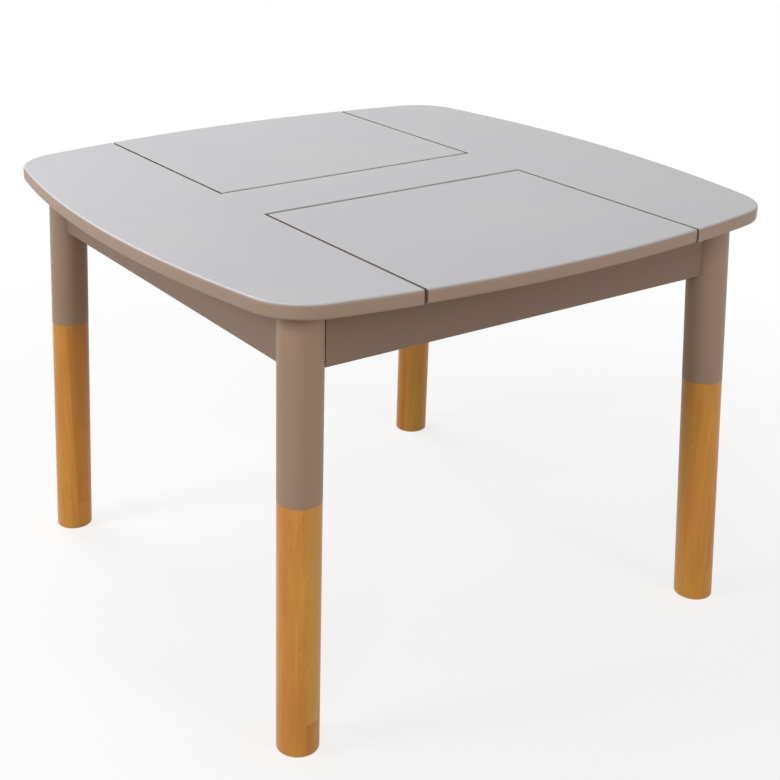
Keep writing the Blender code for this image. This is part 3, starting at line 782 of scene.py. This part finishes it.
def build_nuts(tree):
    place = Matrix.Translation((BOLT_TAIL, 0, 0)) @ ALONG_X
    corner = NUT_FLATS / math.sqrt(3)
    hexagon = [(corner * math.cos(a), corner * math.sin(a), 0) for a in (i * math.tau / 6 for i in range(6))]
    body = bmesh.new()
    add_prism(body, [place @ Vector(p) for p in hexagon], (NUT_THICKNESS, 0, 0))
    piece = template("leg_nuts", body)
    crown = bmesh.new()
    add_turned(crown, nut_crown(), 64, place @ Matrix.Rotation(math.radians(NUT_CROWN_TURN), 4, "Z"))
    carve(piece, crown, "INTERSECT")
    bore = bmesh.new()
    add_turned(bore, rod(STEEL_BORE, -OVERRUN, NUT_THICKNESS + OVERRUN), 40, place)
    carve(piece, bore)
    piece.data.shade_smooth()
    set_in_corners(piece, tree, "hex_nut")


# Screws under the storage floor

SCREW_RIM = (0.0003, 0.0002)     # the head's chamfer, across and along
SCREW_RADIUS = 0.00175
SCREW_HEAD_HEIGHT = 0.0026
RECESS_REACH = 0.0022
RECESS_HALF_WIDTH = 0.0005
RECESS_DEPTH = 0.0014


def cross_recess():
    """Cross-shaped driver recess that opens downwards at z = 0."""
    arm = [(RECESS_REACH, -RECESS_HALF_WIDTH), (RECESS_REACH, RECESS_HALF_WIDTH),
           (RECESS_HALF_WIDTH, RECESS_HALF_WIDTH)]
    outline = [Matrix.Rotation(turn * math.pi / 2, 2) @ Vector(p) for turn in range(4) for p in arm]
    bm = bmesh.new()
    add_prism(bm, [(p.x, p.y, -OVERRUN) for p in outline], (0, 0, RECESS_DEPTH + OVERRUN))
    return bm


def floor_screw():
    """One screw, head down, with its recess."""
    low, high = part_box("floor_screw_1")
    length = high.z - low.z
    head = (high.x - low.x) / 2
    across, along = SCREW_RIM
    bm = bmesh.new()
    add_turned(bm, [(0, 0), (head - across, 0), (head, along), (SCREW_RADIUS, SCREW_HEAD_HEIGHT),
                    (SCREW_RADIUS, length - POINT_LENGTH), (0, length)], 40)
    piece = template("screw", bm)
    carve(piece, cross_recess())
    piece.data.shade_smooth()
    return piece


def build_floor_screws(tree):
    screw = floor_screw()
    centres = {node: middle(node) for node in nodes_named("floor_screw")}
    rows = sorted({round(abs(c.y), 4) for c in centres.values()})
    for label, y in zip(("inner", "outer"), rows):
        nodes = [node for node, c in centres.items() if round(abs(c.y), 4) == y]
        piece = link(bpy.data.objects.new(f"{label}_floor_screws", screw.data.copy()))
        set_copies(piece, tree, Half_Spacing_X=-centres["floor_screw_1"].x, Half_Spacing_Y=y, Centre_Y=0.0,
                   Level=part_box("floor_screw_1")[0].z, Rows=2, Facing=(0.0, 0.0, 0.0), Finish=STEEL)
        dress(piece, "table", "steel", *nodes)
    bpy.data.objects.remove(screw)


# Pivots and pads

PIN_EASE = 0.0005
BUSH_BORE = 0.0026
BUSH_EASE = 0.0004
PAD_EASE = 0.0003
PAD_EDGE = 0.6               # height of a pad's straight edge, as a share of its thickness


def build_pins(tree):
    low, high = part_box("pivot_pin_back_right")
    length = high.x - low.x
    radius = (high.z - low.z) / 2
    bm = bmesh.new()
    add_turned(bm, [(0, 0), (radius - PIN_EASE, 0), (radius, PIN_EASE), (radius, length - PIN_EASE),
                    (radius - PIN_EASE, length), (0, length)], 40, ALONG_X)
    piece = template("pivot_pins", bm)
    set_copies(piece, tree, Half_Spacing_X=low.x, Half_Spacing_Y=PIVOT.y, Centre_Y=0.0, Level=PIVOT.z,
               Rows=2, Facing=(1.0, 0.0, 0.0), Finish=STEEL)
    dress(piece, "table", "steel", *nodes_named("pivot_pin"))


def build_bushes(end, side, tree):
    low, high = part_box("pivot_bush_back_right")
    length = high.x - low.x
    outer = (high.z - low.z) / 2
    bm = bmesh.new()
    add_turned(bm, [(BUSH_BORE, 0), (outer - BUSH_EASE, 0), (outer, BUSH_EASE), (outer, length - BUSH_EASE),
                    (outer - BUSH_EASE, length), (BUSH_BORE, length), (BUSH_BORE, 0)], 40, ALONG_X)
    bmesh.ops.remove_doubles(bm, verts=bm.verts[:], dist=HAIR)
    piece = template(f"{end}_lid_bushes", bm)
    set_copies(piece, tree, Half_Spacing_X=low.x, Half_Spacing_Y=0.0, Centre_Y=side * PIVOT.y, Level=PIVOT.z,
               Rows=1, Facing=(1.0, 0.0, 0.0), Finish=NYLON)
    dress(piece, f"{end}_lid", "nylon", *nodes_named(f"pivot_bush_{end}"))


def build_pads(tree):
    low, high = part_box("lid_pad_back_right")
    centre = (low + high) / 2
    radius = (high.x - low.x) / 2
    thickness = high.z - low.z
    bm = bmesh.new()
    add_turned(bm, [(0, 0), (radius, 0), (radius, thickness * PAD_EDGE), (radius - PAD_EASE, thickness),
                    (0, thickness)], 48)
    piece = template("lid_pads", bm)
    set_copies(piece, tree, Half_Spacing_X=centre.x, Half_Spacing_Y=centre.y, Centre_Y=0.0, Level=low.z,
               Rows=2, Facing=(0.0, 0.0, 0.0), Finish=FELT)
    dress(piece, "table", "felt", *nodes_named("lid_pad"))


def paint_kept_nodes():
    """Gives every CAD node that still shows its finish."""
    for start, material in (("storage_floor", PLYWOOD), ("corner_block", SOFTWOOD), ("top_screw", STEEL)):
        for name in nodes_named(start):
            mesh = frame["nodes"][name].data
            mesh.materials.clear()
            mesh.materials.append(material)


# Stage

LIGHT_TARGET = Vector((0, 0, 0.35))
LIGHTS = {                   # place, diameter and power
    "front_left_light": ((-1.9, -2.1, 2.1), 1.2, 21.0),
    "left_light": ((-2.8, 0.6, 1.6), 1.2, 43.0),
    "front_light": ((0.6, -2.9, 1.3), 1.2, 26.0),
    "right_light": ((2.6, -1.3, 2.0), 1.2, 5.0),
    "overhead_light": ((-0.2, 1.3, 2.35), 1.8, 28.5),
    "back_light": ((-0.6, 2.4, 1.9), 1.2, 8.0),
}
WORLD_STRENGTH = 0.08
WORLD_COLOUR = (1.0, 0.95, 0.88, 1.0)
WHITE = (1.0, 1.0, 1.0, 1.0)
FLOOR_COLOUR = (0.93, 0.93, 0.93, 1.0)
FLOOR_BOUNCE = (0.36, 0.28, 0.20, 1.0)       # what the floor throws back on the table
FLOOR_RADIUS = 9.0
FADE_START, FADE_END = 0.5, 1.3              # distances from the middle of the table
FADE_LEAST = 0.78                            # share of plain white in the floor under the table


def aim_camera():
    """Camera at the photograph's viewpoint."""
    yaw, pitch, roll = CAMERA_YAW, CAMERA_PITCH, CAMERA_ROLL
    forward = Vector((math.sin(yaw) * math.cos(pitch), math.cos(yaw) * math.cos(pitch), -math.sin(pitch)))
    level = Vector((math.cos(yaw), -math.sin(yaw), 0))
    down = forward.cross(level)
    right = math.cos(roll) * level + math.sin(roll) * down
    down = math.cos(roll) * down - math.sin(roll) * level
    data = bpy.data.cameras.new("photo_camera")
    data.sensor_width = PHOTO_SENSOR
    data.lens = CAMERA_FOCUS / PHOTO_SIZE * PHOTO_SENSOR
    data.shift_x = (PHOTO_SIZE / 2 - CAMERA_CENTRE[0]) / PHOTO_SIZE
    data.shift_y = (CAMERA_CENTRE[1] - PHOTO_SIZE / 2) / PHOTO_SIZE
    camera = link(bpy.data.objects.new("photo_camera", data))
    turn = Matrix((right, -down, -forward)).transposed().to_4x4()
    camera.matrix_world = Matrix.Translation(CAMERA_PLACE) @ turn
    bpy.context.scene.camera = camera


def light_scene():
    """Round soft lights that point at the middle of the table."""
    for name, (place, diameter, power) in LIGHTS.items():
        data = bpy.data.lights.new(name, "AREA")
        data.shape = "DISK"
        data.size = diameter
        data.energy = power
        light = link(bpy.data.objects.new(name, data))
        light.location = place
        light.rotation_euler = (LIGHT_TARGET - Vector(place)).to_track_quat("-Z", "Y").to_euler()


def backdrop():
    """White where the camera, a reflection or a clear surface looks past the table; soft grey as a light."""
    world = bpy.data.worlds.new("studio")
    world.use_nodes = True
    world.node_tree.nodes.clear()
    w = Nodes(world.node_tree)
    path = w.add("ShaderNodeLightPath").outputs
    seen = w.math("MAXIMUM", path["Is Camera Ray"], path["Is Transmission Ray"])
    white_seen = w.math("MAXIMUM", seen, path["Is Glossy Ray"])
    soft = w.add("ShaderNodeBackground", {"Color": WORLD_COLOUR, "Strength": WORLD_STRENGTH}).outputs[0]
    white = w.add("ShaderNodeBackground", {"Color": WHITE}).outputs[0]
    mix = w.add("ShaderNodeMixShader", {0: white_seen, 1: soft, 2: white}).outputs[0]
    w.add("ShaderNodeOutputWorld", {0: mix})
    bpy.context.scene.world = world


def pale_floor_finish():
    """Pale matt floor whose tone runs out into plain white away from the table."""
    f = Finish("pale_floor")
    path = f.add("ShaderNodeLightPath").outputs
    seen = f.math("MAXIMUM", path["Is Camera Ray"], path["Is Glossy Ray"])
    f.surface(Base_Color=f.blend(seen, FLOOR_BOUNCE, FLOOR_COLOUR), Roughness=0.9, Specular_IOR_Level=0.0)
    distance = f.add("ShaderNodeVectorMath", {0: f.place()}, operation="LENGTH").outputs["Value"]
    fade = f.spread(distance, FADE_START, FADE_END, FADE_LEAST, 1.0)
    white = f.add("ShaderNodeEmission", {"Color": WHITE, "Strength": 1.0}).outputs[0]
    inputs = {0: f.math("MULTIPLY", seen, fade), 1: f.shader.outputs[0], 2: white}
    mix = f.add("ShaderNodeMixShader", inputs).outputs[0]
    f.set(f.tree.nodes["Material Output"], "Surface", mix)
    return f.material


def lay_floor():
    """Floor that keeps the table's soft shadow, a hair's breadth under the feet."""
    bm = bmesh.new()
    place = Matrix.Translation((0, 0, -FIT))
    bmesh.ops.create_circle(bm, cap_ends=True, segments=96, radius=FLOOR_RADIUS, matrix=place)
    new_piece("pale_floor", bm, pale_floor_finish())


def main():
    aim_camera()
    build_top()
    build_lid("front", -1)
    build_lid("back", 1)
    for corner in CORNERS:
        build_leg(*corner)
    for name, axis, side in (("front", 0, -1), ("back", 0, 1), ("left", 1, -1), ("right", 1, 1)):
        build_apron(name, axis, side)
    for node in ("rail_left", "rail_right", "beam_front", "beam_back"):
        build_board(node)
    tree = copies_tree()
    build_bolts(tree)
    build_washers(tree)
    build_nuts(tree)
    build_floor_screws(tree)
    build_pins(tree)
    build_bushes("front", -1, tree)
    build_bushes("back", 1, tree)
    build_pads(tree)
    paint_kept_nodes()
    light_scene()
    backdrop()
    lay_floor()
    bpy.context.scene.view_settings.view_transform = "Standard"


main()
